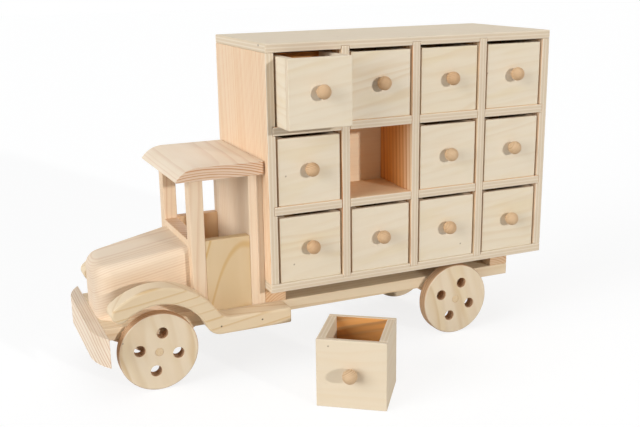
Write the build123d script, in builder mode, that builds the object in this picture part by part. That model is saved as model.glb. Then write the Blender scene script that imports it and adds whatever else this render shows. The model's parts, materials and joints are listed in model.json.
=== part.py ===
from build123d import *
import os
from math import acos, asin, degrees, sqrt

# A wooden toy lorry that is an advent calendar: its box body holds small drawers on both sides.
# Millimetres, +Z up. The cab looks along -X, so the lorry's left side faces -Y.
# The origin is on the floor, in the middle of the width and midway between the axles.

# Box body, made of plywood panels
ply = 6.5                   # thickness of every panel
bay = 52.0                  # width and height of one compartment
bay_depth = 51.75           # front edge to middle panel
columns = 4
rows = 3
housing = 2.5               # depth of the grooves that hold dividers and shelves
lap_play = 0.2              # extra width of the grooves and of the slots in the cross laps

# Drawers
side_gap = 1.5              # between a drawer and the divider beside it
top_gap = 2.5               # between a drawer and the panel above it
back_gap = 2.25             # between a closed drawer and the middle panel
setback = 1.0               # drawer front behind the edges of the box
face = 4.0                  # thickness of a drawer's front and back
cheek = 6.2                 # thickness of a drawer's sides
tray = 4.0                  # thickness of a drawer's bottom
pulled_out = 22.0           # how far the first drawer of the left side stands open
loose_aside = 63.75         # middle of the loose drawer, out from the left side of the box
loose_behind = 38.65        # middle of the loose drawer, behind the front end of the box
loose_turn = -36.0          # its turn about Z in degrees

# Ball knobs
ball = 5.2                  # radius of the ball
knob_neck = 0.4             # between the ball and the wood behind it
dowel = 2.5                 # radius of the knob's dowel
knob_rise = 1.5             # knob above the middle of the drawer front
glue_line = 0.05            # around a glued dowel

# Wheels and axles
wheel_radius = 29.0
wheel_width = 9.0
wheel_rim = 1.4             # rounding of the rim
wheel_gap = 1.0             # between a wheel and the chassis
wheel_top_gap = 2.2         # between a wheel and the box above it
hole_radius = 4.1           # the holes in a wheel
hole_circle = 14.3          # radius of the circle that they lie on
hole_count = 4
front_wheel_turn = -12.0
rear_wheel_turn = -22.0
axle_radius = 3.0
axle_play = 0.08            # between an axle and its bore
hanger_length = 60.0        # along the chassis, at the top
hanger_nose = 7.0           # radius of the wood around the axle

# Chassis board, with the two cross bars that carry the box
chassis_width = 84.0
chassis_thickness = 9.0
chassis_nose = 36.1         # ahead of the front axle
chassis_tail = 56.1         # behind the rear axle
box_overhang = 23.5         # rear end of the box past the chassis
spacer_height = 11.5
spacer_length = 16.5

# Cab
cab_length = 55.3           # front of the windscreen frame to the box
cab_height = 100.7          # chassis to roof
frame_thickness = 10.4      # windscreen frame
back_thickness = 11.0       # rear wall
door_thickness = 8.0
sill_height = 54.5          # doors and windscreen sill, above the chassis
post_width = 10.5
roof_thickness = 9.5
roof_overhang = 7.0         # past the cab at each side
roof_visor = 11.5           # past the windscreen frame
roof_arc = 17.3             # length of the rounded front of the roof
roof_gap = 1.0              # between the roof and the box

# Bonnet
bonnet_length = 66.2
bonnet_rear_width = 68.0
bonnet_front_width = 49.0
bonnet_rear_height = 49.5
bonnet_front_height = 43.2
bonnet_round = 10.0         # rounding of the top edges and of the upright front edges

# Fenders with their running boards, and the bumper
fender_thickness = 17.0
arch_gap = 8.5              # between a wheel and its arch
fender_band = 12.5          # width of the fender, measured across the arch
tip_flat = 0.25             # what the rounding leaves of the tip, on each side of its middle
running_height = 12.0
running_end = 14.0          # behind the front end of the box
upper_sweep = 14.0          # hollow curve from fender to running board
lower_sweep = 12.0          # round curve below it
bumper_length = 122.8
bumper_height = 21.5
bumper_thickness = 9.5
bumper_end = 0.6            # what is left of the thickness at the ends
bumper_sweep = 27.0         # length of the curve at each end

# Sizes and levels that follow
box_length = columns * bay + (columns + 1) * ply
box_height = rows * bay + (rows + 1) * ply
box_depth = 2 * bay_depth + ply
box_side = box_depth / 2
cab_side = chassis_width / 2
wheel_face = cab_side + wheel_gap + wheel_width

axle_z = wheel_radius
box_z = 2 * wheel_radius + wheel_top_gap
box_top_z = box_z + box_height
chassis_top = box_z - spacer_height
chassis_bottom = chassis_top - chassis_thickness
sill_z = chassis_top + sill_height
roof_z = chassis_top + cab_height

# Places along the lorry
axle_to_box = cab_length + bonnet_length - chassis_nose
wheelbase = axle_to_box + box_length - box_overhang - chassis_tail
front_axle_x = -wheelbase / 2
rear_axle_x = wheelbase / 2
box_front = front_axle_x + axle_to_box
box_rear = box_front + box_length
chassis_front = front_axle_x - chassis_nose
chassis_rear = rear_axle_x + chassis_tail
back_x = box_front - back_thickness
frame_x = box_front - cab_length

# One drawer
drawer_width = bay - 2 * side_gap
drawer_height = bay - top_gap
drawer_depth = bay_depth - back_gap - setback

LOW = (Align.MIN, Align.MIN, Align.MIN)
STANDING = (Align.CENTER, Align.MIN)
SIDES = (("left", -1), ("right", 1))
os.makedirs("parts", exist_ok=True)


def write(part, node):
    part.label = node
    export_step(part, f"parts/{node}.step")


# A rectangular board between two corners
def board(low, high):
    with BuildPart(Plane(low)) as piece:
        Box(*(b - a for a, b in zip(low, high)), align=LOW)
    return piece.part


# Lower faces of the boards between the compartments, counted from the front end and from below
def divider_x(number):
    return box_front + number * (bay + ply)


def shelf_z(number):
    return box_z + number * (bay + ply)


# Top and bottom panel, with a groove for each divider on the face towards the drawers
def grooved_panel(low_z, groove_z):
    with BuildPart(Plane((box_front, -box_side, low_z))) as panel:
        Box(box_length, box_depth, ply, align=LOW)
        for number in range(1, columns):
            for y in (-box_side, ply / 2):
                with BuildSketch(Plane((divider_x(number) - lap_play / 2, y, groove_z))):
                    Rectangle(ply + lap_play, bay_depth, align=LOW[:2])
                extrude(amount=housing, mode=Mode.SUBTRACT)
    return panel.part


# End panel, standing between top and bottom, with a groove for each shelf
def end_panel(low_x, groove_x):
    with BuildPart(Plane((low_x, -box_side, box_z + ply))) as panel:
        Box(ply, box_depth, box_height - 2 * ply, align=LOW)
        for number in range(1, rows):
            for y in (-box_side, ply / 2):
                with BuildSketch(Plane((groove_x, y, shelf_z(number) - lap_play / 2))):
                    Rectangle(housing, bay_depth, align=LOW[:2])
                extrude(amount=ply + lap_play, mode=Mode.SUBTRACT)
    return panel.part


write(grooved_panel(box_z, box_z + ply - housing), "box_bottom")
write(grooved_panel(box_top_z - ply, box_top_z - ply), "box_top")
write(end_panel(box_front, box_front + ply - housing), "box_front_end")
write(end_panel(box_rear - ply, box_rear - ply), "box_rear_end")

middle_corner = (box_front + ply, -ply / 2, box_z + ply)
write(board(middle_corner, (box_rear - ply, ply / 2, box_top_z - ply)), "middle_panel")


# Dividers and shelves of one side cross in half laps. A divider is slotted from the middle panel
# and a shelf from its front edge, so the dividers run through in front.
def dividers(sign):
    middle = sign * (box_side + ply / 2) / 2
    with BuildPart() as uprights:
        with BuildSketch(*(Plane.YZ.offset(divider_x(number)) for number in range(1, columns))):
            with Locations((middle, box_z + ply - housing)):
                Rectangle(bay_depth, box_height - 2 * ply + 2 * housing, align=STANDING)
            for level in range(1, rows):
                with Locations((middle - sign * bay_depth / 4, shelf_z(level) - lap_play / 2)):
                    Rectangle(bay_depth / 2, ply + lap_play, align=STANDING, mode=Mode.SUBTRACT)
        extrude(amount=ply)
    return uprights.part


def shelves(sign):
    middle = sign * (box_side + ply / 2) / 2
    with BuildPart() as levels:
        with BuildSketch(*(Plane.XY.offset(shelf_z(level)) for level in range(1, rows))):
            with Locations(((box_front + box_rear) / 2, middle)):
                Rectangle(box_length - 2 * ply + 2 * housing, bay_depth)
            for number in range(1, columns):
                with Locations((divider_x(number) + ply / 2, middle + sign * bay_depth / 4)):
                    Rectangle(ply + lap_play, bay_depth / 2, mode=Mode.SUBTRACT)
        extrude(amount=ply)
    return levels.part


for side, sign in SIDES:
    write(dividers(sign), f"{side}_dividers")
    write(shelves(sign), f"{side}_shelves")


# Turned ball knob. Its dowel runs along +Y into the wood, whose face is at y = 0.
def knob(height, dowel_length):
    middle_y = -ball - knob_neck
    neck_y = middle_y + sqrt(ball**2 - dowel**2)
    neck_angle = degrees(asin((neck_y - middle_y) / ball))
    with BuildPart() as turned:
        with BuildSketch(Plane.XY.offset(height)):
            with BuildLine():
                Polyline((0, middle_y - ball), (0, dowel_length), (dowel, dowel_length), (dowel, neck_y))
                CenterArc((0, middle_y), ball, neck_angle, -neck_angle - 90)
            make_face()
        revolve(axis=Axis((0, 0, height), (0, 1, 0)))
    return turned.part


# Pieces of one drawer, in its own frame: front face at y = 0 looking along -Y, bottom at z = 0.
# Front and back cover the ends of the sides, and the bottom lies between all four.
def drawer_pieces():
    half = drawer_width / 2
    knob_z = drawer_height / 2 + knob_rise
    rear = drawer_depth - face
    with BuildPart() as front:
        with BuildSketch(Plane.XZ):
            Rectangle(drawer_width, drawer_height, align=STANDING)
            with Locations((0, knob_z)):
                Circle(dowel + glue_line, mode=Mode.SUBTRACT)
        extrude(amount=-face)
    return {
        "front": front.part,
        "back": board((-half, rear, 0), (half, drawer_depth, drawer_height)),
        "left_side": board((-half, face, 0), (cheek - half, rear, drawer_height)),
        "right_side": board((half - cheek, face, 0), (half, rear, drawer_height)),
        "bottom": board((cheek - half, face, 0), (half - cheek, rear, tray)),
        "knob": knob(knob_z, face),
    }


# A drawer for each compartment, as one group of separate solids. The first of the left side
# stands open, and the compartment of the loose drawer stays empty.
pieces = drawer_pieces()
OPEN_DRAWER = "left_drawer_r1c1"
LOOSE_DRAWER = "left_drawer_r2c2"
for side, sign in SIDES:
    for row in range(1, rows + 1):
        for column in range(1, columns + 1):
            node = f"{side}_drawer_r{row}c{column}"
            if node == LOOSE_DRAWER:
                continue
            x = divider_x(column - 1) + ply + bay / 2
            y = box_side - setback + (pulled_out if node == OPEN_DRAWER else 0)
            z = shelf_z(rows - row) + ply
            place = Location((x, sign * y, z), (0, 0, 90 + 90 * sign))
            write(Compound(children=[piece.moved(place) for piece in pieces.values()]), node)

# The loose drawer stands on the floor, and each of its pieces is a node
loose_middle = Location((box_front + loose_behind, -box_side - loose_aside, 0), (0, 0, loose_turn))
loose_place = loose_middle * Location((0, -drawer_depth / 2, 0))
for name, piece in pieces.items():
    write(piece.moved(loose_place), f"loose_drawer_{name}")

# Chassis board, and the cross bars between it and the box
chassis_corner = (chassis_front, -cab_side, chassis_bottom)
write(board(chassis_corner, (chassis_rear, cab_side, chassis_top)), "chassis_board")
for end, x in (("front", box_front), ("rear", chassis_rear - spacer_length)):
    write(board((x, -cab_side, chassis_top), (x + spacer_length, cab_side, box_z)), f"{end}_spacer")


# Axle hanger under the chassis, tapered down to a round nose that is bored for the axle
def axle_hanger(x):
    with BuildPart() as hanger:
        with BuildSketch(Plane.XZ.offset(-cab_side)):
            with Locations((x, axle_z)):
                Circle(hanger_nose)
            with BuildLine():
                Line((x - hanger_length / 2, chassis_bottom), (x + hanger_length / 2, chassis_bottom))
            make_hull()
            with Locations((x, axle_z)):
                Circle(axle_radius + axle_play, mode=Mode.SUBTRACT)
        extrude(amount=chassis_width)
    return hanger.part


# Axle dowel, flush with the outer faces of its wheels
def axle(x):
    with BuildPart() as rod:
        with BuildSketch(Plane.XZ.offset(-wheel_face)):
            with Locations((x, axle_z)):
                Circle(axle_radius)
        extrude(amount=2 * wheel_face)
    return rod.part


# Plywood wheel with its inner or outer face at high_y, glued on its axle
def wheel(x, high_y, turn):
    with BuildPart() as disc:
        with BuildSketch(Plane.XZ.offset(-high_y)):
            with Locations((x, axle_z)):
                Circle(wheel_radius)
        extrude(amount=wheel_width)
        fillet(disc.edges().filter_by(GeomType.CIRCLE), wheel_rim)
        with BuildSketch(Plane.XZ.offset(-high_y)):
            with Locations((x, axle_z)):
                Circle(axle_radius)
                with PolarLocations(hole_circle, hole_count, turn):
                    Circle(hole_radius)
        extrude(amount=wheel_width, mode=Mode.SUBTRACT)
    return disc.part


for end, x, turn in (("front", front_axle_x, front_wheel_turn), ("rear", rear_axle_x, rear_wheel_turn)):
    write(axle_hanger(x), f"{end}_axle_hanger")
    write(axle(x), f"{end}_axle")
    write(wheel(x, wheel_width - wheel_face, turn), f"{end}_left_wheel")
    write(wheel(x, wheel_face, turn), f"{end}_right_wheel")

# Rear wall of the cab, against the box
write(board((back_x, -cab_side, chassis_top), (box_front, cab_side, roof_z)), "cab_back")

# Doors between the windscreen frame and the rear wall
for side, low_y in (("left", -cab_side), ("right", cab_side - door_thickness)):
    door_corner = (frame_x + frame_thickness, low_y, chassis_top)
    write(board(door_corner, (back_x, low_y + door_thickness, sill_z)), f"{side}_door")

# Windscreen frame, one board with a notch between its two posts
with BuildPart() as windscreen_frame:
    with BuildSketch(Plane.YZ.offset(frame_x)):
        with Locations((0, chassis_top)):
            Rectangle(chassis_width, cab_height, align=STANDING)
        with Locations((0, sill_z)):
            Rectangle(chassis_width - 2 * post_width, roof_z - sill_z, align=STANDING, mode=Mode.SUBTRACT)
    extrude(amount=frame_thickness)
write(windscreen_frame.part, "windscreen_frame")

# Roof, rounded down to its front edge
roof_front = frame_x - roof_visor
roof_rear = box_front - roof_gap
roof_top = roof_z + roof_thickness
arc_start = (roof_front + roof_arc, roof_top)
with BuildPart() as roof:
    with BuildSketch(Plane.XZ):
        with BuildLine():
            Polyline((roof_front, roof_z), (roof_rear, roof_z), (roof_rear, roof_top), arc_start)
            TangentArc(arc_start, (roof_front, roof_z), tangent=(-1, 0))
        make_face()
    extrude(amount=cab_side + roof_overhang, both=True)
write(roof.part, "roof")

# Bonnet, a solid block that narrows and drops towards the front, with rounded edges
bonnet_top = chassis_top + bonnet_rear_height
with BuildPart() as bonnet:
    with BuildSketch(Plane.XZ):
        with BuildLine():
            Polyline(
                (frame_x, chassis_top),
                (frame_x, bonnet_top),
                (chassis_front, chassis_top + bonnet_front_height),
                (chassis_front, chassis_top),
                close=True,
            )
        make_face()
    extrude(amount=bonnet_rear_width / 2, both=True)
    with BuildSketch(Plane.XY.offset(chassis_top)):
        with BuildLine():
            Polyline(
                (frame_x, bonnet_rear_width / 2),
                (chassis_front, bonnet_front_width / 2),
                (chassis_front, -bonnet_front_width / 2),
                (frame_x, -bonnet_rear_width / 2),
                close=True,
            )
        make_face()
    extrude(amount=bonnet_rear_height, mode=Mode.INTERSECT)
    front_edges = bonnet.edges().filter_by(Axis.Z).group_by(Axis.X)[0]
    top_edges = bonnet.faces().sort_by(Axis.Z)[-1].edges().sort_by(Axis.X)[:-1]
    fillet(front_edges + top_edges, bonnet_round)
write(bonnet.part, "bonnet")


# Fender and running board of one side, sawn from one thick board. The front tip starts level with
# the front of the chassis and is then rounded.
def fender(high_y):
    arch = wheel_radius + arch_gap
    crown = arch + fender_band
    running_bottom = chassis_top - running_height
    end_x = box_front + running_end
    tip_angle = degrees(acos(-chassis_nose / crown))
    crown_end = degrees(asin((chassis_top - axle_z) / crown))
    arch_end = degrees(asin((running_bottom - axle_z) / arch))
    with BuildPart() as piece:
        with BuildSketch(Plane.XZ.offset(-high_y)) as outline:
            with BuildLine():
                outer = CenterArc((front_axle_x, axle_z), crown, crown_end, tip_angle - crown_end)
                inner = CenterArc((front_axle_x, axle_z), arch, arch_end, tip_angle - arch_end)
                Line(outer @ 1, inner @ 1)
                Polyline(outer @ 0, (end_x, chassis_top), (end_x, running_bottom), inner @ 0)
            make_face()
            fillet(outline.vertices().sort_by(Axis.X)[:2], fender_band / 2 - tip_flat)
            fillet(outline.vertices().sort_by_distance(outer @ 0)[0], upper_sweep)
            fillet(outline.vertices().sort_by_distance(inner @ 0)[0], lower_sweep)
        extrude(amount=fender_thickness)
    return piece.part


write(fender(-cab_side), "left_fender")
write(fender(cab_side + fender_thickness), "right_fender")

# Bumper across the front of the chassis, swept back at both ends
bumper_front = chassis_front - bumper_thickness
end_front = chassis_front - bumper_end
end_y = bumper_length / 2
flat_y = end_y - bumper_sweep
with BuildPart() as bumper:
    with BuildSketch(Plane.XY.offset(chassis_top)):
        with BuildLine():
            Polyline((end_front, -end_y), (chassis_front, -end_y), (chassis_front, end_y), (end_front, end_y))
            Line((bumper_front, flat_y), (bumper_front, -flat_y))
            TangentArc((bumper_front, flat_y), (end_front, end_y), tangent=(0, 1))
            TangentArc((bumper_front, -flat_y), (end_front, -end_y), tangent=(0, -1))
        make_face()
    extrude(amount=-bumper_height)
write(bumper.part, "bumper")
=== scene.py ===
import json
from math import cos, pi, radians, sin

import bmesh
import bpy
from mathutils import Euler, Matrix, Vector

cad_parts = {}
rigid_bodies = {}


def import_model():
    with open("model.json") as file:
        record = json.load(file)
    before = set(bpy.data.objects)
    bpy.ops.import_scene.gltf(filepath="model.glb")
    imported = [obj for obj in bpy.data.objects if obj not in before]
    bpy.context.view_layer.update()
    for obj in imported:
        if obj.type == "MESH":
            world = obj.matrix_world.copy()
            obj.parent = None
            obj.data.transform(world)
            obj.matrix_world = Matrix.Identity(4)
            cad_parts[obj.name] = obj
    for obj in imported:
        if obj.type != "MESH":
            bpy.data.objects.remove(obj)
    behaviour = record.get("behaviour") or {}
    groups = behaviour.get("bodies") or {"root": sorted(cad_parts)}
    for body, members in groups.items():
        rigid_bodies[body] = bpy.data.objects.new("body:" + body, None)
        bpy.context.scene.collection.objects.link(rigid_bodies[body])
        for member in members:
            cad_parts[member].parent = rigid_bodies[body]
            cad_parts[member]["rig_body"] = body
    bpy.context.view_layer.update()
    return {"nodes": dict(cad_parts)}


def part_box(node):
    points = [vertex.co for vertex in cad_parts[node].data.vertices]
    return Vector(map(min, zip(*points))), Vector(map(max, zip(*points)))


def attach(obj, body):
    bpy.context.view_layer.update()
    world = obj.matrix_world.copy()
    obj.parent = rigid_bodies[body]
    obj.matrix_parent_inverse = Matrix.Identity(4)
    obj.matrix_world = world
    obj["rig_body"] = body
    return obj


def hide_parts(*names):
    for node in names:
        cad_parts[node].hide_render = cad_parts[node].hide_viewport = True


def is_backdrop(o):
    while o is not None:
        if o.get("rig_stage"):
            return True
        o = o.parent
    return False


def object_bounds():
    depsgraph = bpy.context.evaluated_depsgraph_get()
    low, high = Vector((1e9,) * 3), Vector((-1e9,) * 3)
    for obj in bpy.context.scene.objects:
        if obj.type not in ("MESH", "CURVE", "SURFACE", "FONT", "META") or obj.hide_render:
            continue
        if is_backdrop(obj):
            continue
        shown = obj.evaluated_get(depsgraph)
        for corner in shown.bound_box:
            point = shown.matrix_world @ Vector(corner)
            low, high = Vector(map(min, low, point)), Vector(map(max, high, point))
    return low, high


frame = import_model()

# A wooden toy lorry that is an advent calendar. Sizes are in millimetres and are turned into metres
# where they are used. The lorry's left side faces -Y and its cab looks along -X.
MM = 0.001
AXES = {"X": 0, "Y": 1, "Z": 2}

# Camera at the viewing angle of the photograph
CAMERA_PLACE = (-264.64, -658.16, 292.65)
CAMERA_TURN = (75.061, 0.807, -24.072)
CAMERA_LENS = 52.0
CAMERA_SENSOR = 36.0
CAMERA_NEAREST = 10.0

# Plywood: thickness of the box's boards, distance of parallel boards, the slack in telling those apart,
# and the layers in a board of the box and in a wheel
PLY = 6.5
PITCH = 58.5
SLACK = 0.5
BOX_LAYERS = 5
WHEEL_LAYERS = 7

# Drawers
DRAWER_WIDTH = 49.0
DRAWER_HEIGHT = 49.5
DRAWER_DEPTH = 48.5
FACE_THICKNESS = 4.0
CHEEK_THICKNESS = 6.2
TRAY_THICKNESS = 4.0
BALL_RADIUS = 5.2
BALL_NECK = 0.4
DOWEL_RADIUS = 2.5
KNOB_RISE = 1.5
KNOB_SINK = 0.5

# Wood of the drawers: layers of the thin boards and of the cheeks, how boldly their markings show, how much
# bolder they show on the inner sides, which are painted deep orange with dark markings as shade, and how
# many a metre has
THIN_LAYERS = 3.0
CHEEK_LAYERS = 5.0
DRAWER_FIGURE = 0.26
INNER_FIGURE = 0.3
DRAWER_STREAKS = 120.0

# Wood of the knobs: width of a year, its dark share, how strongly it shows, and the share of end grain
KNOB_YEAR = 0.9
KNOB_LINE = 0.6
KNOB_BOLDNESS = 0.8
KNOB_END_GRAIN = 0.4

# Fineness of the small meshes: points along each side of a drawer's board, and the steps along and round
# the ball of a knob and the head of a nail
BOARD_GRID = 4
BALL_STEPS = 22
BALL_SIDES = 28
NAIL_STEPS = 8
NAIL_SIDES = 14

# Each drawer has a run of seeds, one for each of its boards and then one for its knob
SEEDS_EACH = 17.0
KNOB_SEED = 9

# Ranges that the seeds choose from: a board's shift and lean on its sheet, its tone and its boldness,
# and a knob's place beside and above the pith of its stick and its tone
BOARD_SHIFTS = (-9.0, 9.0)
BOARD_LEANS = (0.02, 0.2)
BOARD_TONES = (0.0, 0.5)
BOARD_BOLDNESS = (0.25, 1.0)
KNOBS_ASIDE = (-14.0, 14.0)
KNOBS_ABOVE = (4.0, 16.0)
KNOB_TONES = (0.0, 1.0)

# Loose drawer: its turn on the table in degrees, its seed, and how much painted shade darkens its wood
LOOSE_TURN = -36.0
LOOSE_SEED = 71
LOOSE_PAINTED_SHADE = 0.65

# Roundings of the edges
BOARD_ROUNDING = 0.6
FENDER_ROUNDING = 1.6
DOWEL_ROUNDING = 0.3
PLY_ROUNDING = 0.7
DRAWER_ROUNDING = 0.6
WHEEL_ROUNDING = 0.35
ROOF_NOSE = 1.8
EDGE_SEGMENTS = 2
NOSE_SEGMENTS = 6

# Angles: faces that turn by less than the first are one face, edges that turn by more than the second are
# rounded, and from the third an edge is shaded as a crease
FLAT_WITHIN = radians(0.4)
ROUNDED_FROM = radians(40)
CREASE_FROM = radians(20)

# Distances within which points are merged, cut or counted as foremost
MERGED_WITHIN = 0.002
CUT_WITHIN = 0.001
FOREMOST_WITHIN = 0.05
KNOB_MERGED_WITHIN = 0.01

# Shares of a face's normal: from the first it is an end of its board, below the second it is an edge, and
# from the third it is a face
END_FROM = 0.7
EDGE_BELOW = 0.8
FACE_FROM = 0.9

# Places of the boards in the wood: how many widths of a year they lie along the trunk, and the part of a
# sheet's shift along its grain that also goes across it
TRUNK_SPREAD = 3100.0
SHIFT_ACROSS = 0.37

# Depths behind the open side of the box between which the dividers go over from pale to the deep orange
# of painted shade further in
MOUTH_DEPTHS = (2.5, 16.0)

# Bonnet: its front end as shares of its rear end, the rounding of its long edges at both ends, of its
# brow and of its upright front edges, and the steps of its roundings and of its length
BONNET_NARROWING = 53.0 / 68.0
BONNET_LOWERING = 39.0 / 49.5
BONNET_REAR_ROUNDING = 5.0
BONNET_FRONT_ROUNDING = 9.0
BONNET_BROW = 8.0
BONNET_NOSE = 13.0
BONNET_LEAST_ROUNDING = 1.0
BONNET_ARC_STEPS = 12
BONNET_BODY_STEPS = 8

# Sunk nails that hold the running boards, on both sides of the lorry
NAIL_RADIUS = 0.65
NAIL_RISE = 0.12
NAIL_ALONG = (-78.5, -47.0)
NAIL_HEIGHT = 43.2

# Floor, in metres each way from the middle
FLOOR_REACH = 6.0


class Value:
    """One output of a node. Arithmetic on values adds Math nodes to the same tree."""

    def __init__(self, tree, socket=None):
        self.tree = tree
        self.socket = socket

    def node(self, kind, sockets=None, output=0, **settings):
        """Adds a node: its settings first, then the values or links of its sockets."""
        made = self.tree.nodes.new(kind)
        for name, setting in settings.items():
            setattr(made, name, setting)
        for name, value in (sockets or {}).items():
            if isinstance(value, Value):
                self.tree.links.new(value.socket, made.inputs[name])
            else:
                made.inputs[name].default_value = value
        return Value(self.tree, made.outputs[output])

    def maths(self, operation, *others):
        """A Math node with this value first."""
        return self.node("ShaderNodeMath", dict(enumerate((self, *others))), operation=operation)

    def __add__(self, other):
        return self.maths("ADD", other)

    def __sub__(self, other):
        return self.maths("SUBTRACT", other)

    def __rsub__(self, other):
        return self.node("ShaderNodeMath", {0: other, 1: self}, operation="SUBTRACT")

    def __mul__(self, other):
        return self.maths("MULTIPLY", other)

    def __truediv__(self, other):
        return self.maths("DIVIDE", other)

    __radd__ = __add__
    __rmul__ = __mul__

    def fract(self):
        return self.maths("FRACT")

    def whole(self):
        return self.maths("FLOOR")

    def size(self):
        return self.maths("ABSOLUTE")

    def rise(self, low, high):
        """0 below low and 1 above high, with a smooth step between."""
        ends = {"Value": self, "From Min": low, "From Max": high}
        return self.node("ShaderNodeMapRange", ends, interpolation_type="SMOOTHSTEP")

    def parts(self):
        split = self.node("ShaderNodeSeparateXYZ", {0: self}).socket.node
        return [Value(self.tree, output) for output in split.outputs]

    def vector(self, x, y, z):
        return self.node("ShaderNodeCombineXYZ", {0: x, 1: y, 2: z})

    def vector_maths(self, operation, *others):
        """A Vector Math node with this value first."""
        return self.node("ShaderNodeVectorMath", dict(enumerate((self, *others))), operation=operation)

    def noise(self, x, y, z, detail=2.0):
        """Soft random field from 0 to 1 over the given coordinates."""
        place = self.vector(x, y, z)
        return self.node("ShaderNodeTexNoise", {"Vector": place, "Scale": 1.0, "Detail": detail})

    def mix(self, first, second):
        """Colour between two colours, with this value as the factor."""
        return self.node("ShaderNodeMix", {0: self, 6: first, 7: second}, output=2, data_type="RGBA")

    def attribute(self, name, output):
        return self.node("ShaderNodeAttribute", output=output, attribute_name=name)


def linear(red, green, blue):
    """Linear colour of an sRGB colour given in steps of 0 to 255."""
    channels = (value / 255 for value in (red, green, blue))
    return (*(c / 12.92 if c <= 0.04045 else ((c + 0.055) / 1.055) ** 2.4 for c in channels), 1.0)


# Finishes

def finish(name, specular=0.25):
    """A new material, and a value that adds nodes to it."""
    material = bpy.data.materials.new(name)
    material.use_nodes = True
    shader = material.node_tree.nodes["Principled BSDF"]
    shader.inputs["Specular IOR Level"].default_value = specular
    return material, shader, Value(material.node_tree)


def connect(tree, shader, colour, roughness, height, depth):
    """Feeds the shader: colour, roughness and a bump of the given depth in metres."""
    bump = Value(tree).node("ShaderNodeBump", {"Strength": 0.5, "Distance": depth, "Height": height})
    for name, value in (("Base Color", colour), ("Roughness", roughness), ("Normal", bump)):
        tree.links.new(value.socket, shader.inputs[name])


def log_wood(name, early, late, shade, fibre_strength):
    """Solid wood or sawn veneer, from the sRGB colours of a year's pale and dark wood and of darker boards.
    The attribute log is the place in the trunk in metres, along it and across it from the pith, so that
    rings, arches and end grain show where each face cuts them. The attribute ring is the width of a year,
    line the dark share of it, and bold how strongly it shows."""
    material, shader, start = finish(name)
    early, late, shade = (linear(*colour) for colour in (early, late, shade))
    along, across, deep = start.attribute("log", "Vector").parts()
    tone, bold, ring, line, end = (
        start.attribute(label, "Fac") for label in ("tone", "bold", "ring", "line", "end_grain")
    )

    def grain_noise(lengthwise, crosswise, detail=2.0):
        """Noise with so many features in a metre along the grain and across it."""
        return start.noise(along * lengthwise, across * crosswise, deep * crosswise, detail)

    drift = grain_noise(9.0, 16.0)
    ripple = grain_noise(40.0, 120.0)
    radius = (across * across + deep * deep).maths("SQRT")
    count = radius / ring
    uneven = start.noise(count * 0.4, 0.0, 0.0)
    years = count + ((drift - 0.5) * 0.0012 + (ripple - 0.5) * 0.0004) / ring + (uneven - 0.5) * 0.9
    within = years.fract()
    year = start.node("ShaderNodeTexWhiteNoise", {"W": years.whole()}, noise_dimensions="1D")
    latewood = within.rise(1.0 - line, 0.9) * (1.0 - within.rise(0.92, 1.0))
    stripe = latewood * (year * 0.7 + 0.4) * bold
    blush = grain_noise(14.0, 60.0)
    fibre = grain_noise(60.0, 2200.0, 3.0)
    colour = (blush.rise(0.3, 0.75) * 0.2 + tone * 0.8).mix(early, shade)
    colour = stripe.mix(colour, late)
    colour = (fibre * fibre_strength).mix(colour, late)
    colour = (end * bold * 0.2).mix(colour, late)
    roughness = 0.62 - stripe * 0.12 + (fibre - 0.5) * 0.12
    connect(material.node_tree, shader, colour, roughness, fibre * 0.6 + latewood * 0.4, 0.00016)
    return material


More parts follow.
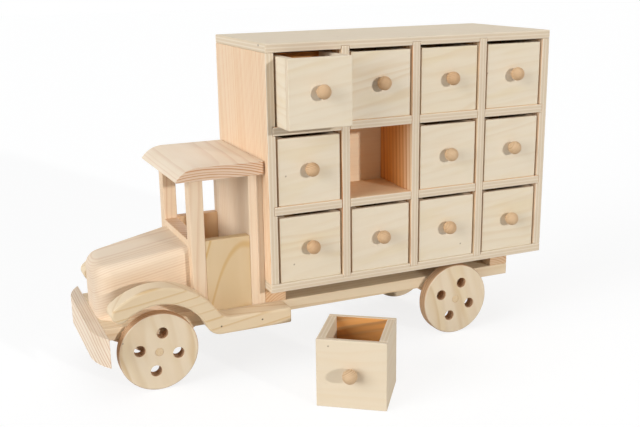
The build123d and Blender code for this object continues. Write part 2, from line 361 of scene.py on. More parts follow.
def sheet_wood(name, pale, yellow, painted_inside_shade, streak, edge_light, edge_dark, glue, hollow_and_shade):
    """Plywood, from sRGB colours. The attribute sheet has the place on the sheet in metres, along and
    across the grain of its faces, and the depth counted in layers. streaks says how many markings a metre
    of a face has across its grain, and figure how boldly they show. A tone below 0 darkens the faces
    towards edge_dark as painted shade, and one above 0.5 turns them deep orange with dark markings, the
    painted shade inside the drawers."""
    material, shader, start = finish(name, 0.22)
    pale, yellow, painted_inside_shade, streak = (linear(*colour) for colour in (pale, yellow, painted_inside_shade, streak))
    edge_light, edge_dark, glue, hollow_and_shade = (
        linear(*colour) for colour in (edge_light, edge_dark, glue, hollow_and_shade)
    )
    along, across, layer = start.attribute("sheet", "Vector").parts()
    tone, figure, streaks, end, outer = (
        start.attribute(label, "Fac") for label in ("tone", "figure", "streaks", "end_grain", "sheet_face")
    )
    drift = start.noise(along * 6.0, across * 14.0, 0.0)
    peel = start.noise(along * 7.0, across * 40.0, drift * 1.6)
    count = across * streaks + peel * 4.0
    band = count.fract()
    year = start.node("ShaderNodeTexWhiteNoise", {"W": count.whole()}, noise_dimensions="1D")
    marking = band.rise(0.25, 0.75) * (1.0 - band.rise(0.78, 1.0)) * (year * 0.8 + 0.2)
    patch = start.noise(along * 15.0, across * 80.0, 4.0).rise(0.48, 0.72)
    strokes = start.noise(along * 22.0, across * 330.0, layer * 2.0, 2.0)
    fibre = start.noise(along * 55.0, across * 1300.0, layer * 2.0, 3.0)
    face = (patch * 0.45 + tone * 0.45).mix(pale, yellow)
    # Painted shade: a tone below 0 darkens the face towards edge_dark, and one above 0.5 turns it deep
    # orange with dark markings, for the insides of the drawers
    face = (0.0 - tone).rise(0.0, 1.0).mix(face, edge_dark)
    deep = tone.rise(0.5, 1.0)
    face = deep.mix(face, painted_inside_shade)
    face = (marking * figure).mix(face, deep.mix(streak, hollow_and_shade))
    face = (strokes.rise(0.45, 0.8) * 0.12).mix(face, edge_dark)

    turned = (layer / 2.0).fract().rise(0.48, 0.52)
    crosswise = (turned - end.rise(0.5, 0.6)).size()
    pores = start.noise(along * 900.0, across * 900.0, layer * 3.0)
    core = (crosswise * (0.3 + pores * 0.6)).mix(edge_light, edge_dark)
    seam = ((layer + 0.5).fract() - 0.5).size()
    core = ((1.0 - seam.rise(0.03, 0.14)) * 0.32).mix(core, glue)
    gap = start.noise(along * 120.0, across * 120.0, layer.whole() * 7.0).rise(0.735, 0.755)
    core = (gap * turned).mix(core, hollow_and_shade)

    colour = outer.mix(core, face)
    colour = (fibre * 0.16).mix(colour, edge_dark)
    speck = start.node(
        "ShaderNodeTexVoronoi",
        {"Vector": start.vector(along * 11.0, across * 11.0, 0.5), "Scale": 1.0},
        voronoi_dimensions="2D",
    )
    colour = ((1.0 - speck.rise(0.004, 0.01)) * outer * 0.5).mix(colour, hollow_and_shade)
    roughness = 0.66 + (fibre - 0.5) * 0.14 - marking * 0.05
    connect(material.node_tree, shader, colour, roughness, fibre * 0.7 + strokes * 0.3, 0.00012)
    return material


def dull_steel(name):
    """Nail heads, rubbed dark."""
    material, shader, start = finish(name, 0.5)
    place = start.node("ShaderNodeTexCoord", output="Object")
    x, y, z = place.parts()
    rub = start.noise(x * 1800.0, y * 1800.0, z * 1800.0)
    colour = rub.mix(linear(58, 44, 34), linear(112, 92, 74))
    shader.inputs["Metallic"].default_value = 0.6
    connect(material.node_tree, shader, colour, 0.45 + rub * 0.2, rub, 0.00004)
    return material


PINE = log_wood(
    "sanded pine", early=(241, 225, 204), late=(194, 140, 98), shade=(222, 188, 146), fibre_strength=0.08
)
PINE_VENEER = log_wood(
    "pine veneer", early=(239, 218, 192), late=(216, 160, 110), shade=(230, 194, 152), fibre_strength=0.1
)
# Its shade colour, deep orange, is used as painted shade inside the compartments and the cab
INNER_VENEER = log_wood(
    "inner veneer", early=(246, 226, 194), late=(196, 122, 58), shade=(228, 160, 80), fibre_strength=0.1
)
YELLOW_PINE = log_wood(
    "broad-ringed pine", early=(237, 217, 188), late=(200, 158, 96), shade=(211, 184, 143),
    fibre_strength=0.08,
)
BEECH = log_wood(
    "turned beech", early=(222, 193, 156), late=(172, 130, 92), shade=(206, 168, 128), fibre_strength=0.2
)
PLYWOOD = sheet_wood(
    "plywood",
    pale=(234, 221, 200), yellow=(229, 210, 173), painted_inside_shade=(220, 152, 78), streak=(208, 170, 112),
    edge_light=(227, 212, 191), edge_dark=(213, 192, 162), glue=(206, 172, 132), hollow_and_shade=(92, 58, 34),
)
# Edges of the wheels, darker and redder than the box's: partly the turned edge, partly painted shade of the
# treads and hub holes
TURNED_EDGES_AND_SHADE = sheet_wood(
    "turned plywood edges and painted shade",
    pale=(226, 208, 178), yellow=(222, 198, 158), painted_inside_shade=(220, 152, 78), streak=(208, 170, 112),
    edge_light=(214, 178, 142), edge_dark=(184, 138, 100), glue=(134, 90, 60), hollow_and_shade=(92, 58, 34),
)
STEEL = dull_steel("nail steel")


# Boards taken over from the CAD nodes, with rounded edges and grain


def round_edges(shape, edges, rounding, segments):
    bmesh.ops.bevel(
        shape, geom=edges, offset=rounding * MM, offset_type="OFFSET", segments=segments, profile=0.5,
        affect="EDGES", clamp_overlap=True,
    )


def as_mesh(shape, node):
    """The shape as a smooth mesh for a node, with its creases kept."""
    bmesh.ops.recalc_face_normals(shape, faces=shape.faces)
    for face in shape.faces:
        face.smooth = True
    mesh = bpy.data.meshes.new(f"{node}_finished")
    shape.to_mesh(mesh)
    shape.free()
    mesh.set_sharp_from_angle(angle=CREASE_FROM)
    return mesh


def rounded(node, rounding, nose=0.0, cuts=()):
    """A mesh with the node's shape, its triangles merged into faces and its sharp edges rounded. A nose
    is the larger rounding of its foremost edge, and cuts are places along Y where its faces are divided."""
    shape = bmesh.new()
    shape.from_mesh(frame["nodes"][node].data)
    bmesh.ops.remove_doubles(shape, verts=shape.verts, dist=MERGED_WITHIN * MM)
    bmesh.ops.dissolve_limit(shape, angle_limit=FLAT_WITHIN, verts=shape.verts, edges=shape.edges)
    if nose:
        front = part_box(node)[0].x + FOREMOST_WITHIN * MM
        foremost = [edge for edge in shape.edges if all(vertex.co.x < front for vertex in edge.verts)]
        round_edges(shape, foremost, nose, NOSE_SEGMENTS)
    sharp = [edge for edge in shape.edges if edge.is_manifold and edge.calc_face_angle() > ROUNDED_FROM]
    round_edges(shape, sharp, rounding, EDGE_SEGMENTS)
    for place in cuts:
        whole = shape.verts[:] + shape.edges[:] + shape.faces[:]
        bmesh.ops.bisect_plane(
            shape, geom=whole, dist=CUT_WITHIN * MM, plane_co=(0, place, 0), plane_no=(0, 1, 0)
        )
    return as_mesh(shape, node)


def sanded_bonnet():
    """A mesh of the bonnet that is crisp at the windscreen frame and rounder towards its front."""
    low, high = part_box("bonnet")
    length, height, half_width = high.x - low.x, high.z - low.z, (high.y - low.y) / 2
    middle = (low.y + high.y) / 2
    nose = BONNET_NOSE * MM
    turns = [pi / 2 * number / BONNET_ARC_STEPS for number in range(BONNET_ARC_STEPS + 1)]
    stations = [nose * (1 - cos(turn)) for turn in turns]
    steps = range(1, BONNET_BODY_STEPS + 1)
    stations += [nose + (length - nose) * number / BONNET_BODY_STEPS for number in steps]

    def inset(behind, rounding):
        """How far a rounding of the front draws the surface in, so far behind the front."""
        short = max(rounding * MM - behind, 0.0)
        return rounding * MM - ((rounding * MM) ** 2 - short**2) ** 0.5

    shape = bmesh.new()
    rings = []
    for behind in stations:
        share = 1 - behind / length
        half = half_width * (1 + (BONNET_NARROWING - 1) * share) - inset(behind, BONNET_NOSE)
        top = height * (1 + (BONNET_LOWERING - 1) * share) - inset(behind, BONNET_BROW)
        rounding = BONNET_REAR_ROUNDING + (BONNET_FRONT_ROUNDING - BONNET_REAR_ROUNDING) * share
        rounding = max(rounding * MM - inset(behind, BONNET_BROW), BONNET_LEAST_ROUNDING * MM)
        side, crown = half - rounding, top - rounding
        arc = [(side + rounding * cos(turn), crown + rounding * sin(turn)) for turn in turns]
        right = [(half, 0.0), *arc]
        outline = right + [(-y, z) for y, z in reversed(right)]
        rings.append([shape.verts.new((low.x + behind, middle + y, low.z + z)) for y, z in outline])
    count = len(rings[0])
    for ring, after in zip(rings, rings[1:]):
        for number in range(count):
            following = (number + 1) % count
            shape.faces.new((ring[number], ring[following], after[following], after[number]))
    shape.faces.new(rings[0])
    shape.faces.new(rings[-1])
    return as_mesh(shape, "bonnet")


def store(mesh, name, kind, domain, values):
    """Keeps one value for each point or face as an attribute of the mesh."""
    field = "vector" if kind == "FLOAT_VECTOR" else "value"
    layer = mesh.attributes.new(name, kind, domain)
    for number, value in enumerate(values):
        setattr(layer.data[number], field, value)


def take_over(mesh, node, *materials):
    """Makes the finished piece that stands for a node and rides on the node's body."""
    mesh.materials.clear()
    for material in materials:
        mesh.materials.append(material)
    piece = bpy.data.objects.new(mesh.name, mesh)
    bpy.context.scene.collection.objects.link(piece)
    even = piece.modifiers.new("even normals", "WEIGHTED_NORMAL")
    even.keep_sharp = True
    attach(piece, frame["nodes"][node]["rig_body"])
    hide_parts(node)


def same_all_over(mesh, **levels):
    for name, level in levels.items():
        store(mesh, name, "FLOAT", "FACE", [level] * len(mesh.polygons))


def store_log(mesh, node, grain, pith, ring, slope, bold, end_ring=None):
    """Puts a piece into its trunk. pith is the trunk's middle in millimetres from the middle of the
    piece, on the two axes across the grain, slope its lean along the grain, ring the width of a year
    and bold how strongly the years show along the grain and on its ends. end_ring is the distance of
    the lines on its ends, where it isn't a year."""
    low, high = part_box(node)
    middle = (low + high) / 2
    along = AXES[grain]
    across = [axis for axis in range(3) if axis != along]

    def log_place(point):
        local = point - middle
        sides = zip(across, pith, slope)
        side = [local[axis] - offset * MM - lean * local[along] for axis, offset, lean in sides]
        return (local[along] + TRUNK_SPREAD * ring * MM, *side)

    store(mesh, "log", "FLOAT_VECTOR", "POINT", [log_place(vertex.co) for vertex in mesh.vertices])
    ends = [abs(face.normal[along]) for face in mesh.polygons]
    store(mesh, "end_grain", "FLOAT", "FACE", ends)
    store(mesh, "bold", "FLOAT", "FACE", [bold[0] + (bold[1] - bold[0]) * end for end in ends])
    rings = [(end_ring or ring) if end > END_FROM else ring for end in ends]
    store(mesh, "ring", "FLOAT", "FACE", [width * MM for width in rings])


def store_sheet(mesh, node, grain, thin, layers, shift, lean, pitch):
    """Puts a piece into its plywood sheet. grain and thin are the axes of its face grain and of its
    thickness. The pattern of its faces starts at shift, in metres, and may lean. Where a node has
    several parallel boards, pitch is their distance in millimetres."""
    low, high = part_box(node)
    along = AXES[grain]
    deep = AXES[thin]
    across = 3 - along - deep
    thickness = PLY * MM if pitch else high[deep] - low[deep]

    def sheet_place(point):
        depth = point[deep] - low[deep]
        if pitch:
            depth = (depth + SLACK * MM) % (pitch * MM) - SLACK * MM
        start = point[along] + shift - lean * point[across]
        aside = point[across] + lean * point[along] + SHIFT_ACROSS * shift
        return (start, aside, depth / thickness * layers)

    store(mesh, "sheet", "FLOAT_VECTOR", "POINT", [sheet_place(vertex.co) for vertex in mesh.vertices])
    outer = [float(abs(face.normal[deep]) > FACE_FROM) for face in mesh.polygons]
    store(mesh, "sheet_face", "FLOAT", "FACE", outer)


def solid_board(
    node, grain, pith, ring, slope, tone, bold, line=0.55, material=PINE, rounding=BOARD_ROUNDING, nose=0.0,
    rim_tone=None, end_ring=None, mesh=None,
):
    """A piece of solid wood. tone is that of its faces that look to the side of the lorry, and rim_tone
    that of the others where it differs."""
    mesh = mesh or rounded(node, rounding, nose)
    store_log(mesh, node, grain, pith, ring, slope, bold, end_ring)
    rim = tone if rim_tone is None else rim_tone
    aside = [abs(face.normal.y) for face in mesh.polygons]
    store(mesh, "tone", "FLOAT", "FACE", [rim + (tone - rim) * share for share in aside])
    same_all_over(mesh, line=line)
    take_over(mesh, node, material)


def sheet_board(
    node, grain, thin, layers, figure, streaks, tone, shift, lean=0.0, rounding=PLY_ROUNDING, edges=None
):
    """A piece of plywood with peeled faces, and with another finish on its edges where one is given."""
    mesh = rounded(node, rounding)
    store_sheet(mesh, node, grain, thin, layers, shift, lean, 0.0)
    along = AXES[grain]
    store(mesh, "end_grain", "FLOAT", "FACE", [abs(face.normal[along]) for face in mesh.polygons])
    same_all_over(mesh, tone=tone, figure=figure, streaks=streaks)
    take_over(mesh, node, PLYWOOD, edges or PLYWOOD)
    for face in mesh.polygons:
        face.material_index = int(abs(face.normal[AXES[thin]]) < EDGE_BELOW)


def veneer_board(
    node, grain, thin, pith, ring, slope, tone, bold, material, shift, pitch=0.0, mouth_tone=None
):
    """A piece of plywood with straight sawn faces and bare edges. A mouth_tone is its tone beside the open
    side of the box, which goes over into tone further in; on the dividers this paints shade into the
    compartments."""
    mouth = max(abs(corner.y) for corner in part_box(node))
    outer, inner = (mouth - depth * MM for depth in MOUTH_DEPTHS)
    at_mouth = tone if mouth_tone is None else mouth_tone
    cuts = () if mouth_tone is None else (outer, -outer, inner, -inner)
    mesh = rounded(node, PLY_ROUNDING, cuts=cuts)
    store_log(mesh, node, grain, pith, ring, slope, (bold, bold))
    store_sheet(mesh, node, grain, thin, BOX_LAYERS, shift, 0.0, pitch)
    same_all_over(mesh, line=0.6, figure=0.0, streaks=0.0)
    # The tone goes over with depth from mouth_tone to tone, painted shade deeper in the box
    shares = [min(max((abs(point.co.y) - inner) / (outer - inner), 0.0), 1.0) for point in mesh.vertices]
    store(mesh, "tone", "FLOAT", "POINT", [tone + (at_mouth - tone) * share for share in shares])
    take_over(mesh, node, PLYWOOD, material)
    for face in mesh.polygons:
        face.material_index = int(abs(face.normal[AXES[thin]]) > FACE_FROM)


# Cab, bonnet, fenders, bumper and chassis, of solid pine
solid_board(
    "chassis_board", "X", pith=(20, -45), ring=4.2, slope=(0.02, 0.01), tone=0.1, bold=(0.35, 0.6),
    line=0.45, material=YELLOW_PINE,
)
solid_board("front_spacer", "Y", pith=(14, -26), ring=2.0, slope=(0.0, 0.0), tone=1.0, bold=(0.4, 0.9))
solid_board("rear_spacer", "Y", pith=(-12, -30), ring=2.2, slope=(0.0, 0.0), tone=0.9, bold=(0.4, 0.9))
for end, pith, ring, slope in (
    ("front", (30, 25), 3.2, (0.03, 0.02)),
    ("rear", (-28, 30), 3.4, (0.02, 0.03)),
):
    solid_board(f"{end}_axle_hanger", "X", pith, ring, slope, tone=0.5, bold=(0.3, 0.6))
solid_board("cab_back", "Z", pith=(-90, 60), ring=2.0, slope=(0.01, 0.01), tone=0.4, bold=(0.25, 0.6))
solid_board(
    "left_door", "Z", pith=(11.8, 39.5), ring=7.9, slope=(0.0, 0.18), tone=0.95, bold=(0.75, 0.6),
    line=0.2, material=YELLOW_PINE,
)
# The right door takes the inner veneer, its orange a painted warm shade of the cab's inside
solid_board(
    "right_door", "Z", pith=(25, 90), ring=2.2, slope=(0.02, 0.03), tone=0.4, bold=(0.4, 0.6),
    material=INNER_VENEER,
)
solid_board(
    "windscreen_frame", "Z", pith=(60, 140), ring=2.0, slope=(0.01, 0.015), tone=0.5, bold=(0.32, 1.5),
    end_ring=5.2,
)
solid_board(
    "roof", "Y", pith=(-10, -135), ring=1.9, slope=(0.01, 0.01), tone=0.05, bold=(0.24, 1.9),
    nose=ROOF_NOSE,
)
solid_board(
    "bonnet", "X", pith=(8, 72.4), ring=1.75, slope=(0.0, 0.159), tone=0.4, bold=(0.3, 0.4),
    rim_tone=0.15, mesh=sanded_bonnet(),
)
for side, pith, slope in (("left", (30, -62), (0.0, 0.15)), ("right", (-30, -58), (0.0, 0.13))):
    solid_board(
        f"{side}_fender", "X", pith, ring=6.0, slope=slope, tone=0.52, bold=(0.55, 0.3), line=0.3,
        material=YELLOW_PINE, rounding=FENDER_ROUNDING, rim_tone=-0.1,
    )
solid_board("bumper", "Y", pith=(120, 40), ring=1.7, slope=(0.01, 0.01), tone=0.0, bold=(0.55, 0.8))

# Axle dowels
for end, pith in (("front", (1.3, -0.6)), ("rear", (-0.8, 1.2))):
    solid_board(
        f"{end}_axle", "Y", pith, ring=1.1, slope=(0.0, 0.0), tone=0.4, bold=(0.3, 0.5),
        material=YELLOW_PINE, rounding=DOWEL_ROUNDING,
    )

# Box body and wheels, of plywood
# The box's top gets a tone below 0: painted shade that darkens the whole top
sheet_board("box_top", "X", "Z", BOX_LAYERS, figure=0.12, streaks=60.0, tone=-0.45, shift=0.3)
sheet_board("box_bottom", "X", "Z", BOX_LAYERS, figure=0.2, streaks=60.0, tone=0.3, shift=1.1)
veneer_board(
    "box_front_end", "Z", "X", pith=(40, 190), ring=2.6, slope=(0.0, 0.07), tone=0.2, bold=1.0,
    material=PINE_VENEER, shift=2.3,
)
veneer_board(
    "box_rear_end", "Z", "X", pith=(40, -180), ring=2.8, slope=(0.0, -0.05), tone=0.2, bold=0.6,
    material=PINE_VENEER, shift=3.7,
)
veneer_board(
    "middle_panel", "X", "Y", pith=(30, -200), ring=3.6, slope=(0.0, 0.02), tone=0.0, bold=0.05,
    material=INNER_VENEER, shift=4.1,
)
# Dividers pale at the open side and deep orange further in, painted shade of the compartments
for side, shift in (("left", 5.3), ("right", 6.9)):
    veneer_board(
        f"{side}_dividers", "Z", "X", pith=(30, 150), ring=5.2, slope=(0.0, 0.04), tone=1.0, bold=0.9,
        material=INNER_VENEER, shift=shift, pitch=PITCH, mouth_tone=0.0,
    )
    veneer_board(
        f"{side}_shelves", "X", "Z", pith=(110, 30), ring=3.0, slope=(0.03, 0.0), tone=0.2, bold=0.25,
        material=INNER_VENEER, shift=shift + 0.6, pitch=PITCH,
    )
for end, shift, figure in (("front", 7.7, 0.8), ("rear", 8.6, 0.5)):
    for side, aside, lean in (("left", 0.0, 0.22), ("right", 0.4, -0.3)):
        sheet_board(
            f"{end}_{side}_wheel", "Z", "Y", WHEEL_LAYERS, figure, streaks=66.0, tone=0.6,
            shift=shift + aside, lean=lean, rounding=WHEEL_ROUNDING, edges=TURNED_EDGES_AND_SHADE,
        )


# Geometry Nodes for what repeats

def node_tree(name, inputs):
    """A geometry tree with named inputs, as the tree, its inputs by name and a value to add nodes with."""
    tree = bpy.data.node_groups.new(name, "GeometryNodeTree")
    tree.interface.new_socket("Geometry", in_out="OUTPUT", socket_type="NodeSocketGeometry")
    for label, kind in inputs.items():
        tree.interface.new_socket(label, in_out="INPUT", socket_type=f"NodeSocket{kind}")
    source = tree.nodes.new("NodeGroupInput")
    given = {label: Value(tree, source.outputs[label]) for label in inputs}
    return tree, given, Value(tree)


def close_tree(tree, geometry):
    sink = tree.nodes.new("NodeGroupOutput")
    tree.links.new(geometry.socket, sink.inputs["Geometry"])


def stored(geometry, name, kind, domain, value):
    return geometry.node(
        "GeometryNodeStoreNamedAttribute", {"Geometry": geometry, "Name": name, "Value": value},
        data_type=kind, domain=domain,
    )


def joined(start, parts):
    """All the parts as one geometry."""
    gather = start.node("GeometryNodeJoinGeometry").socket.node
    for part in reversed(parts):
        start.tree.links.new(part.socket, gather.inputs[0])
    return Value(start.tree, gather.outputs[0])


def random_between(start, low, high, seed):
    """One random number for the whole piece, from a fixed seed."""
    whole_piece = start.node("FunctionNodeInputInt", integer=0)
    spread = {2: low, 3: high, "ID": whole_piece, "Seed": seed}
    return start.node("FunctionNodeRandomValue", spread, output=1, data_type="FLOAT")


def small_board_tree():
    """One plywood board with rounded edges, lying flat: grain along X and thickness along Z."""
    tree, given, start = node_tree("small board", {
        "Length": "Float", "Width": "Float", "Thickness": "Float", "Rounding": "Float", "Layers": "Float",
        "Figure": "Float", "Streaks": "Float", "Shaded Inside": "Float", "Painted Shade": "Float", "Seed": "Int",
    })
    size = start.vector(given["Length"], given["Width"], given["Thickness"])
    grid = {"Size": size, **{f"Vertices {axis}": BOARD_GRID for axis in AXES}}
    block = start.node("GeometryNodeMeshCube", grid, "Mesh")
    place = start.node("GeometryNodeInputPosition")
    half = size.vector_maths("MULTIPLY", (0.5, 0.5, 0.5))
    distance = place.vector_maths("ABSOLUTE")
    way = place.vector_maths("DIVIDE", distance)
    reach = distance.vector_maths("DIVIDE", half)
    outermost = reach.vector_maths("ADD", (0.01, 0.01, 0.01)).vector_maths("FLOOR")
    rounding = start.vector(given["Rounding"], given["Rounding"], given["Rounding"])
    core = way.vector_maths("MULTIPLY", half.vector_maths("SUBTRACT", rounding))
    outward = way.vector_maths("MULTIPLY", outermost).vector_maths("NORMALIZE")
    skin = core.vector_maths("ADD", outward.vector_maths("MULTIPLY", rounding))
    block = start.node("GeometryNodeSetPosition", {"Geometry": block, "Position": skin})
    x, y, z = place.parts()
    shift = random_between(start, *BOARD_SHIFTS, given["Seed"])
    depth = (z / given["Thickness"] + 0.5) * given["Layers"]
    facing = start.node("GeometryNodeInputNormal").parts()
    lean = random_between(start, *BOARD_LEANS, given["Seed"] + 2)
    sheet_place = start.vector(x + shift, y - x * lean + shift * SHIFT_ACROSS, depth)
    block = stored(block, "sheet", "FLOAT_VECTOR", "POINT", sheet_place)
    block = stored(block, "end_grain", "FLOAT", "FACE", facing[0].size())
    flat = facing[2].size().maths("GREATER_THAN", FACE_FROM)
    block = stored(block, "sheet_face", "FLOAT", "FACE", flat)
    # Faces inside the drawer get painted shade: a tone of at least 1, deep orange, and bolder dark markings
    inner = (facing[2] * given["Shaded Inside"]).maths("GREATER_THAN", FACE_FROM)
    # A drawer's painted shade lowers the tone of all its faces, so that they darken towards edge_dark
    tone = random_between(start, *BOARD_TONES, given["Seed"] + 1) * (1.0 - given["Painted Shade"])
    tone = tone - given["Painted Shade"] + inner * (1.0 + given["Painted Shade"])
    block = stored(block, "tone", "FLOAT", "FACE", tone)
    boldness = random_between(start, *BOARD_BOLDNESS, given["Seed"] + 4)
    block = stored(block, "figure", "FLOAT", "FACE", given["Figure"] * boldness + inner * INNER_FIGURE)
    block = stored(block, "streaks", "FLOAT", "FACE", given["Streaks"])
    smooth = start.node("GeometryNodeSetShadeSmooth", {"Geometry": block, "Shade Smooth": False})
    close_tree(tree, smooth)
    return tree


def ball_knob_tree():
    """A turned ball on a short neck, its front at the far end of -Y and the wood's face at y = 0."""
    tree, given, start = node_tree("ball knob", {
        "Ball Radius": "Float", "Neck": "Float", "Dowel Radius": "Float", "Ring Width": "Float",
        "Seed": "Int",
    })
    ball = given["Ball Radius"]
    middle = (ball + given["Neck"]) * -1.0
    ends = {"Start": (0, 0, 0), "End": (0, 1, 0)}
    line = start.node("GeometryNodeCurvePrimitiveLine", ends, mode="POINTS")
    line = start.node("GeometryNodeResampleCurve", {"Curve": line, "Count": BALL_STEPS}, mode="COUNT")
    share = start.node("GeometryNodeSplineParameter", output="Factor")
    last = share.maths("GREATER_THAN", 0.99)
    reach = middle - ball * (share * pi).maths("COSINE") + last * (given["Neck"] + KNOB_SINK * MM)
    profile = start.vector(0.0, reach, 0.0)
    line = start.node("GeometryNodeSetPosition", {"Geometry": line, "Position": profile})
    aside = start.node("GeometryNodeInputPosition").parts()[1] - middle
    chord = (ball * ball - aside * aside).maths("MAXIMUM", 0.0).maths("SQRT")
    girth = chord.maths("MAXIMUM", aside.maths("GREATER_THAN", 0.0) * given["Dowel Radius"])
    circle = {"Resolution": BALL_SIDES, "Radius": 1.0}
    ring = start.node("GeometryNodeCurvePrimitiveCircle", circle, mode="RADIUS")
    ball_mesh = start.node("GeometryNodeCurveToMesh", {
        "Curve": line, "Profile Curve": ring, "Scale": girth, "Fill Caps": True,
    })
    closing = {"Geometry": ball_mesh, "Distance": KNOB_MERGED_WITHIN * MM}
    ball_mesh = start.node("GeometryNodeMergeByDistance", closing)
    x, y, z = start.node("GeometryNodeInputPosition").parts()
    aside = random_between(start, *KNOBS_ASIDE, given["Seed"])
    above = random_between(start, *KNOBS_ABOVE, given["Seed"] + 3)
    log_place = start.vector(y + aside, x + aside * MM, z + above * MM)
    facing = start.node("GeometryNodeInputNormal").parts()
    ball_mesh = stored(ball_mesh, "log", "FLOAT_VECTOR", "POINT", log_place)
    ball_mesh = stored(ball_mesh, "end_grain", "FLOAT", "FACE", facing[1].size() * KNOB_END_GRAIN)
    tone = random_between(start, *KNOB_TONES, given["Seed"] + 5)
    ball_mesh = stored(ball_mesh, "tone", "FLOAT", "FACE", tone)
    levels = {"ring": given["Ring Width"], "bold": KNOB_BOLDNESS, "line": KNOB_LINE}
    for label, level in levels.items():
        ball_mesh = stored(ball_mesh, label, "FLOAT", "FACE", level)
    ball_mesh = stored(ball_mesh, "turned", "BOOLEAN", "FACE", True)
    smooth = start.node("GeometryNodeSetShadeSmooth", {"Geometry": ball_mesh, "Shade Smooth": True})
    close_tree(tree, smooth)
    return tree


def drawer_tree(small_board, ball_knob):
    """A drawer: front face at y = 0 looking along -Y, bottom at z = 0, its middle at x = 0."""
    tree, given, start = node_tree("drawer", {
        "Width": "Float", "Height": "Float", "Depth": "Float", "Face": "Float", "Cheek": "Float",
        "Tray": "Float", "Rounding": "Float", "Ball Radius": "Float", "Neck": "Float",
        "Dowel Radius": "Float", "Knob Rise": "Float", "Painted Shade": "Float", "Seed": "Int",
        "Boards": "Material", "Knob": "Material",
    })
    width, height, depth = given["Width"], given["Height"], given["Depth"]
    face, cheek, tray = given["Face"], given["Cheek"], given["Tray"]
    inner = depth - face * 2.0

    def board(number, length, across, thickness, layers, shaded_inside, turn, place):
        made = start.node("GeometryNodeGroup", {
            "Length": length, "Width": across, "Thickness": thickness, "Rounding": given["Rounding"],
            "Layers": layers, "Figure": DRAWER_FIGURE, "Streaks": DRAWER_STREAKS,
            "Shaded Inside": shaded_inside, "Painted Shade": given["Painted Shade"],
            "Seed": given["Seed"] * SEEDS_EACH + number,
        }, node_tree=small_board)
        moved = {"Geometry": made, "Translation": start.vector(*place), "Rotation": Euler(turn)}
        return start.node("GeometryNodeTransform", moved)

    upright = (pi / 2, 0.0, 0.0)
    sideways = (pi / 2, 0.0, pi / 2)
    middle_z = height * 0.5
    side_x = (width - cheek) * 0.5
    middle_y = depth * 0.5
    between = width - cheek * 2.0
    # For each board: its length, width, thickness and layers, which of its faces is inside the drawer and
    # gets painted shade, its turn and its place
    boards = (
        (width, height, face, THIN_LAYERS, -1.0, upright, (0.0, face * 0.5, middle_z)),
        (width, height, face, THIN_LAYERS, 1.0, upright, (0.0, depth - face * 0.5, middle_z)),
        (inner, height, cheek, CHEEK_LAYERS, 0.0, sideways, (side_x, middle_y, middle_z)),
        (inner, height, cheek, CHEEK_LAYERS, 0.0, sideways, (side_x * -1.0, middle_y, middle_z)),
        (between, inner, tray, THIN_LAYERS, 1.0, (0, 0, 0), (0.0, middle_y, tray * 0.5)),
    )
    parts = [board(number, *sizes) for number, sizes in enumerate(boards, start=1)]
    knob = start.node("GeometryNodeGroup", {
        "Ball Radius": given["Ball Radius"], "Neck": given["Neck"], "Dowel Radius": given["Dowel Radius"],
        "Ring Width": KNOB_YEAR * MM, "Seed": given["Seed"] * SEEDS_EACH + KNOB_SEED,
    }, node_tree=ball_knob)
    knob_place = start.vector(0.0, 0.0, middle_z + given["Knob Rise"])
    knob = start.node("GeometryNodeTransform", {"Geometry": knob, "Translation": knob_place})
    whole = start.node("GeometryNodeRealizeInstances", {"Geometry": joined(start, [*parts, knob])})
    whole = start.node("GeometryNodeSetMaterial", {"Geometry": whole, "Material": given["Boards"]})
    turned = start.node("GeometryNodeInputNamedAttribute", {"Name": "turned"}, data_type="BOOLEAN")
    whole = start.node(
        "GeometryNodeSetMaterial", {"Geometry": whole, "Selection": turned, "Material": given["Knob"]}
    )
    close_tree(tree, whole)
    return tree


def nail_tree():
    """A low domed nail head at each vertex of the mesh, looking along the vertex's normal."""
    tree, given, start = node_tree("nail heads", {"Radius": "Float", "Rise": "Float", "Finish": "Material"})
    places = tree.interface.new_socket("Places", in_out="INPUT", socket_type="NodeSocketGeometry")
    tree.interface.move(places, 0)
    source = next(node for node in tree.nodes if node.bl_idname == "NodeGroupInput")
    points = Value(tree, source.outputs["Places"])
    ball = {"Segments": NAIL_SIDES, "Rings": NAIL_STEPS, "Radius": given["Radius"]}
    dome = start.node("GeometryNodeMeshUVSphere", ball, "Mesh")
    flatten = start.vector(1.0, given["Rise"] / given["Radius"], 1.0)
    dome = start.node("GeometryNodeTransform", {"Geometry": dome, "Scale": flatten})
    dome = start.node("GeometryNodeSetShadeSmooth", {"Geometry": dome, "Shade Smooth": True})
    heads = start.node("GeometryNodeInstanceOnPoints", {"Points": points, "Instance": dome}, "Instances")
    heads = start.node("GeometryNodeRealizeInstances", {"Geometry": heads})
    close_tree(tree, start.node("GeometryNodeSetMaterial", {"Geometry": heads, "Material": given["Finish"]}))
    return tree


def grown(name, tree, values, base=None):
    """The plain mesh that a tree makes from the given inputs."""
    host = bpy.data.objects.new(f"{name}_host", base or bpy.data.meshes.new(f"{name}_base"))
    bpy.context.scene.collection.objects.link(host)
    modifier = host.modifiers.new("tree", "NODES")
    modifier.node_group = tree
    for socket in tree.interface.items_tree:
        if socket.in_out == "INPUT" and socket.name in values:
            modifier[socket.identifier] = values[socket.name]
    shown = host.evaluated_get(bpy.context.evaluated_depsgraph_get())
    mesh = bpy.data.meshes.new_from_object(shown)
    mesh.name = name
    bpy.data.objects.remove(host)
    return mesh


# Drawers

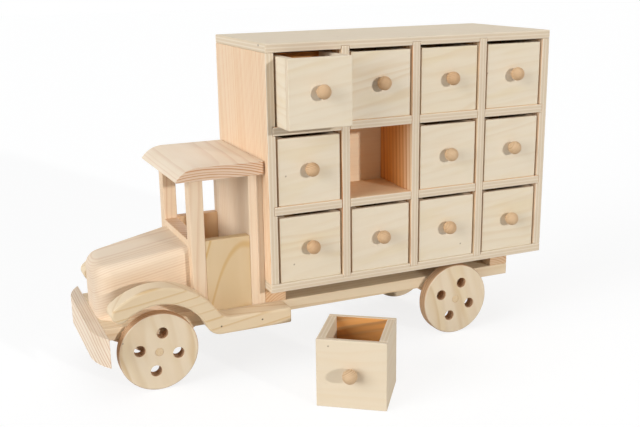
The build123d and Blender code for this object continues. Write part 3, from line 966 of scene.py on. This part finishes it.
drawers = drawer_tree(small_board_tree(), ball_knob_tree())
drawer_sizes = {
    "Width": DRAWER_WIDTH * MM, "Height": DRAWER_HEIGHT * MM, "Depth": DRAWER_DEPTH * MM,
    "Face": FACE_THICKNESS * MM, "Cheek": CHEEK_THICKNESS * MM, "Tray": TRAY_THICKNESS * MM,
    "Rounding": DRAWER_ROUNDING * MM, "Ball Radius": BALL_RADIUS * MM, "Neck": BALL_NECK * MM,
    "Dowel Radius": DOWEL_RADIUS * MM, "Knob Rise": KNOB_RISE * MM, "Boards": PLYWOOD, "Knob": BEECH,
}


def drawer(name, seed, painted_shade, place, body, *nodes):
    """A finished drawer, moved to its place, that stands for its nodes."""
    mesh = grown(name, drawers, {**drawer_sizes, "Seed": seed, "Painted Shade": painted_shade})
    mesh.transform(place)
    piece = bpy.data.objects.new(name, mesh)
    bpy.context.scene.collection.objects.link(piece)
    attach(piece, body)
    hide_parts(*nodes)


# The drawers in the box. One board of the loose drawer has a name of the same form and is passed over.
for number, node in enumerate(sorted(name for name in frame["nodes"] if "_drawer_r" in name)):
    if node.startswith("loose"):
        continue
    low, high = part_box(node)
    if node.startswith("left"):
        place = Matrix.Translation(((low.x + high.x) / 2, high.y - DRAWER_DEPTH * MM, low.z))
    else:
        place = Matrix.Translation(((low.x + high.x) / 2, low.y + DRAWER_DEPTH * MM, low.z))
        place = place @ Matrix.Rotation(pi, 4, "Z")
    drawer(f"{node}_finished", number + 1, 0.0, place, node, node)

# The loose drawer, turned on the table, its wood darkened with painted shade
low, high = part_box("loose_drawer_bottom")
middle = (low + high) / 2
loose_place = (
    Matrix.Translation((middle.x, middle.y, low.z))
    @ Matrix.Rotation(radians(LOOSE_TURN), 4, "Z")
    @ Matrix.Translation((0.0, -DRAWER_DEPTH * MM / 2, 0.0))
)
loose_nodes = [name for name in frame["nodes"] if name.startswith("loose_drawer_")]
drawer("loose_drawer_finished", LOOSE_SEED, LOOSE_PAINTED_SHADE, loose_place, "loose_drawer", *loose_nodes)

# Nails
fender_faces = (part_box("left_fender")[0].y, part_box("right_fender")[1].y)
nail_places = bpy.data.meshes.new("nail_places")
nail_places.from_pydata([(x * MM, y, NAIL_HEIGHT * MM) for x in NAIL_ALONG for y in fender_faces], [], [])
nail_sizes = {"Radius": NAIL_RADIUS * MM, "Rise": NAIL_RISE * MM, "Finish": STEEL}
nail_mesh = grown("fender_nails", nail_tree(), nail_sizes, nail_places)
nails = bpy.data.objects.new("fender_nails", nail_mesh)
bpy.context.scene.collection.objects.link(nails)
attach(nails, "truck")


# Floor, light and camera

def white_background(tree, lit, shown):
    """Shader that lights with one node and shows another to the camera, to gloss and through glass."""
    start = Value(tree)
    path = start.node("ShaderNodeLightPath").socket.node
    rays = [Value(tree, path.outputs[f"Is {kind} Ray"]) for kind in ("Camera", "Glossy", "Transmission")]
    seen = rays[0].maths("MAXIMUM", rays[1]).maths("MAXIMUM", rays[2])
    return start.node("ShaderNodeMixShader", {0: seen, 1: lit, 2: shown})


def output(tree, kind, shader):
    sink = tree.nodes.new(kind)
    tree.links.new(shader.socket, sink.inputs["Surface"])


floor_finish = bpy.data.materials.new("pale floor")
floor_finish.use_nodes = True
floor_finish.node_tree.nodes.clear()
ground = Value(floor_finish.node_tree)
chalk = ground.node("ShaderNodeBsdfDiffuse", {"Color": (0.55, 0.55, 0.55, 1.0)})
paper = ground.node("ShaderNodeBsdfDiffuse", {"Color": (0.95, 0.95, 0.95, 1.0)})
glow = ground.node("ShaderNodeEmission", {"Color": (1.0, 1.0, 1.0, 1.0), "Strength": 1.08})
paper = ground.node("ShaderNodeMixShader", {0: 0.75, 1: paper, 2: glow})
surface = white_background(floor_finish.node_tree, chalk, paper)
output(floor_finish.node_tree, "ShaderNodeOutputMaterial", surface)

floor_mesh = bpy.data.meshes.new("floor")
corners = [(x * FLOOR_REACH, y * FLOOR_REACH, 0.0) for x, y in ((-1, -1), (1, -1), (1, 1), (-1, 1))]
floor_mesh.from_pydata(corners, [], [(0, 1, 2, 3)])
floor_mesh.materials.append(floor_finish)
floor = bpy.data.objects.new("floor", floor_mesh)
bpy.context.scene.collection.objects.link(floor)
floor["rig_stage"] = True

world = bpy.data.worlds.new("studio")
world.use_nodes = True
bpy.context.scene.world = world
world.node_tree.nodes.clear()
sky = Value(world.node_tree)
soft = sky.node("ShaderNodeBackground", {"Color": (1.0, 0.9, 0.77, 1.0), "Strength": 0.22})
white = sky.node("ShaderNodeBackground", {"Color": (1.0, 1.0, 1.0, 1.0), "Strength": 1.0})
output(world.node_tree, "ShaderNodeOutputWorld", white_background(world.node_tree, soft, white))


def studio_lamp(name, towards, level, spread, colour):
    """A far lamp. A white face turned to it gets the level as its brightness, and spread, in degrees,
    softens its shadows."""
    lamp = bpy.data.lights.new(name, "SUN")
    lamp.energy = level * pi
    lamp.angle = radians(spread)
    lamp.color = colour
    holder = bpy.data.objects.new(name, lamp)
    bpy.context.scene.collection.objects.link(holder)
    holder.location = towards
    holder.rotation_euler = Vector(towards).to_track_quat("Z", "Y").to_euler()


studio_lamp("key", towards=(0.37, -1.0, 0.26), level=0.49, spread=2.5, colour=(0.985, 0.995, 1.0))
studio_lamp("side", towards=(-0.93, -0.22, 0.3), level=0.81, spread=45.0, colour=(0.94, 0.975, 1.0))
studio_lamp("top", towards=(0.0, 0.1, 1.0), level=0.22, spread=70.0, colour=(0.8, 0.89, 1.0))
studio_lamp("back", towards=(0.6, 0.8, 0.08), level=0.22, spread=60.0, colour=(0.9, 0.95, 1.0))

camera = bpy.data.cameras.new("camera")
camera.lens = CAMERA_LENS
camera.sensor_fit = "HORIZONTAL"
camera.sensor_width = CAMERA_SENSOR
camera.clip_start = CAMERA_NEAREST * MM
eye = bpy.data.objects.new("camera", camera)
bpy.context.scene.collection.objects.link(eye)
eye.location = [value * MM for value in CAMERA_PLACE]
eye.rotation_euler = [radians(value) for value in CAMERA_TURN]
bpy.context.scene.camera = eye
bpy.context.scene.view_settings.view_transform = "Standard"

low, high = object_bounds()
